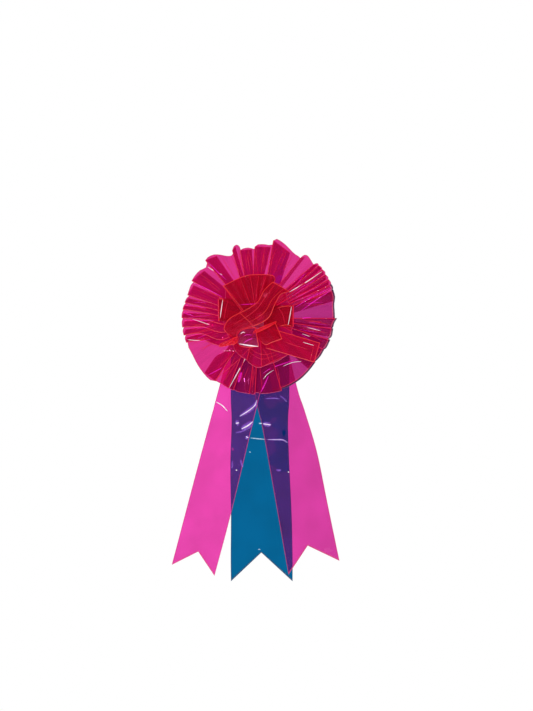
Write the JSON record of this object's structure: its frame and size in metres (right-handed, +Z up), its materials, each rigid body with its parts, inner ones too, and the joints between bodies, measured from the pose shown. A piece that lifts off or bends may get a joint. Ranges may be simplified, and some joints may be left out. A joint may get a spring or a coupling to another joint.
{
  "type": "award ribbon",
  "caption": "Award rosette of pleated translucent film with a gathered centre, three swallow-tailed streamers and a brooch pin behind.",
  "frame": {"origin": "on the axis of the closed needle of the brooch pin, level with the middle of its bar", "axes": "+Z up as it hangs, -Y the way the rosette faces, +X to the right seen from the front and along the needle to its tip"},
  "size_m": [0.1374, 0.0376, 0.2785],
  "materials": {
    "pink_film": "clear fluorescent pink film, glossy, with bright red cut edges",
    "blue_film": "clear teal blue film, glossy",
    "thread": "twisted polyester thread",
    "hot_melt": "milky hot-melt adhesive",
    "card": "white pulp board",
    "tape": "foam adhesive tape",
    "felt": "pressed wool felt",
    "staple_wire": "galvanised wire",
    "plated_steel": "nickel plate",
    "brass": "polished brass"
  },
  "bodies": {
    "rosette": {"outer_ruffle": "pink_film", "outer_gather_thread": "thread", "inner_ruffle": "pink_film", "inner_gather_thread": "thread", "long_loop": "pink_film", "left_loop": "pink_film", "right_loop": "pink_film", "lower_loop": "pink_film", "upper_loop": "pink_film", "centre_band": "pink_film", "glue_dots": "hot_melt", "glue_core": "hot_melt", "ruffle_glue_ring": "hot_melt", "front_card": "card", "staples": "staple_wire", "adhesive_ring": "tape", "back_cover": "felt", "blue_streamer_head": "blue_film", "left_streamer_head": "pink_film", "right_streamer_head": "pink_film", "pin_bar": "plated_steel", "pin_stitches": "thread", "hinge_rivet": "plated_steel", "catch_housing": "plated_steel"},
    "blue_tail": {"blue_streamer": "blue_film"},
    "left_tail": {"left_streamer": "pink_film"},
    "right_tail": {"right_streamer": "pink_film"},
    "needle": {"pin_needle": "plated_steel"},
    "catch": {"catch_roller": "brass"}
  },
  "joints": [
    {"name": "needle_swing", "type": "hinge", "parent": "rosette", "child": "needle", "pos_m": [-0.015, 0, 0], "axis": [0, 0, 1], "range_deg": [0, 75]},
    {"name": "catch_turn", "type": "hinge", "parent": "rosette", "child": "catch", "pos_m": [0.01475, 0, 0], "axis": [1, 0, 0], "range_deg": [0, 110]},
    {"name": "blue_tail_lift", "type": "hinge", "parent": "rosette", "child": "blue_tail", "pos_m": [0, -0.00585, -0.04], "axis": [1, 0, 0], "range_deg": [0, 75]},
    {"name": "left_tail_lift", "type": "hinge", "parent": "rosette", "child": "left_tail", "pos_m": [0, -0.00705, -0.089], "axis": [-1, 0, 0], "range_deg": [0, 75]},
    {"name": "right_tail_lift", "type": "hinge", "parent": "rosette", "child": "right_tail", "pos_m": [0, -0.00645, -0.089], "axis": [-1, 0, 0], "range_deg": [0, 75]}
  ]
}
